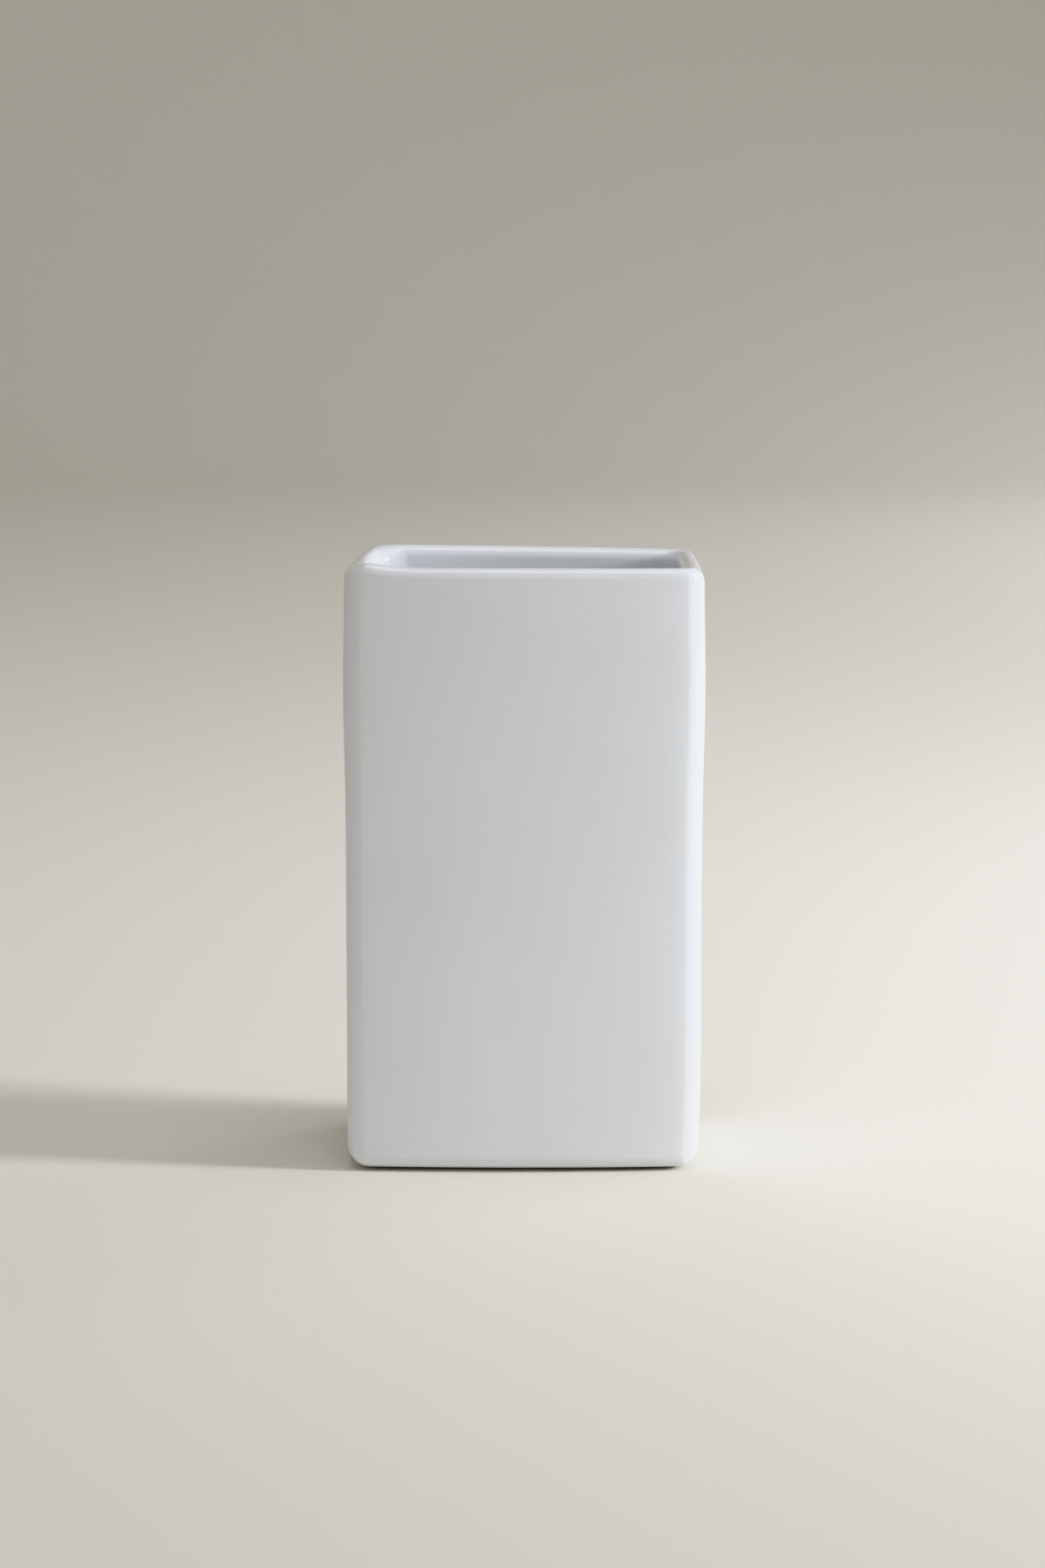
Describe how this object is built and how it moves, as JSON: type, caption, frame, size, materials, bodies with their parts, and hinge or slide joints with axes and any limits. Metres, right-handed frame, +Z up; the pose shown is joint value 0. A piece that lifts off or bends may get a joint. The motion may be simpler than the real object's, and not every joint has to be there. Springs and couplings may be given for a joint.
{
  "type": "toothbrush holder",
  "caption": "Free-standing rectangular toothbrush tumbler in glossy white glazed ceramic, with soft upright corners, a rounded lip and a bare foot ring under a recessed base.",
  "frame": {"origin": "the middle of the footprint, on the surface that the tumbler stands on", "axes": "+Z up along the height, X along the broad front and back faces, +Y from the front face to the back face, so the pictured face looks along -Y"},
  "size_m": [0.0644, 0.04, 0.11],
  "materials": {
    "biscuit": "matt",
    "glaze": "gloss",
    "recess_glaze": "gloss"
  },
  "bodies": {
    "root": {"ceramic_body": "biscuit", "glaze_coat": "glaze", "foot_recess_glaze": "recess_glaze"}
  },
  "joints": []
}
